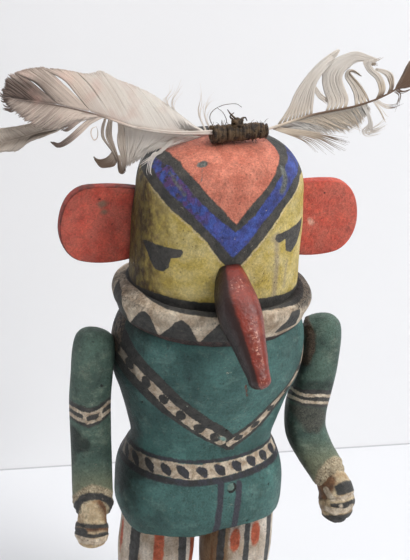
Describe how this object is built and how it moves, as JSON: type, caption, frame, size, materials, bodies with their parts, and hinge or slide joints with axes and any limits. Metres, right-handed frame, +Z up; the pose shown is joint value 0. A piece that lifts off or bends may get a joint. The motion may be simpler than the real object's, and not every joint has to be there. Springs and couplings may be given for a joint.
{
  "type": "kachina doll",
  "caption": "Carved and painted wooden kachina doll in a case mask with ears, a beak, a ruff and crown feathers, standing on a low wooden base.",
  "frame": {"origin": "middle of the underside of the base", "axes": "+Z up, the figure's front faces -Y, +X is the right-hand side of someone who looks at the front"},
  "size_m": [0.2164, 0.1207, 0.3195],
  "materials": {
    "plain_wood": "worn bare wood",
    "painted_wood": "matte earth paint, worn, with painted ornament",
    "red_painted_wood": "matte red paint, worn at the edges",
    "brown_painted_wood": "slightly glossy red-brown paint with flecks",
    "cord": "dark fibrous cord",
    "feather": "soft feather barbs, ivory to grey-brown"
  },
  "bodies": {
    "root": {"base": "plain_wood", "figure": "painted_wood", "left_ear": "red_painted_wood", "right_ear": "red_painted_wood", "beak": "brown_painted_wood", "left_arm": "painted_wood", "right_arm": "painted_wood", "feather_binding": "cord", "left_feather_upper": "feather", "left_feather_lower": "feather", "right_feather": "feather"}
  },
  "joints": []
}
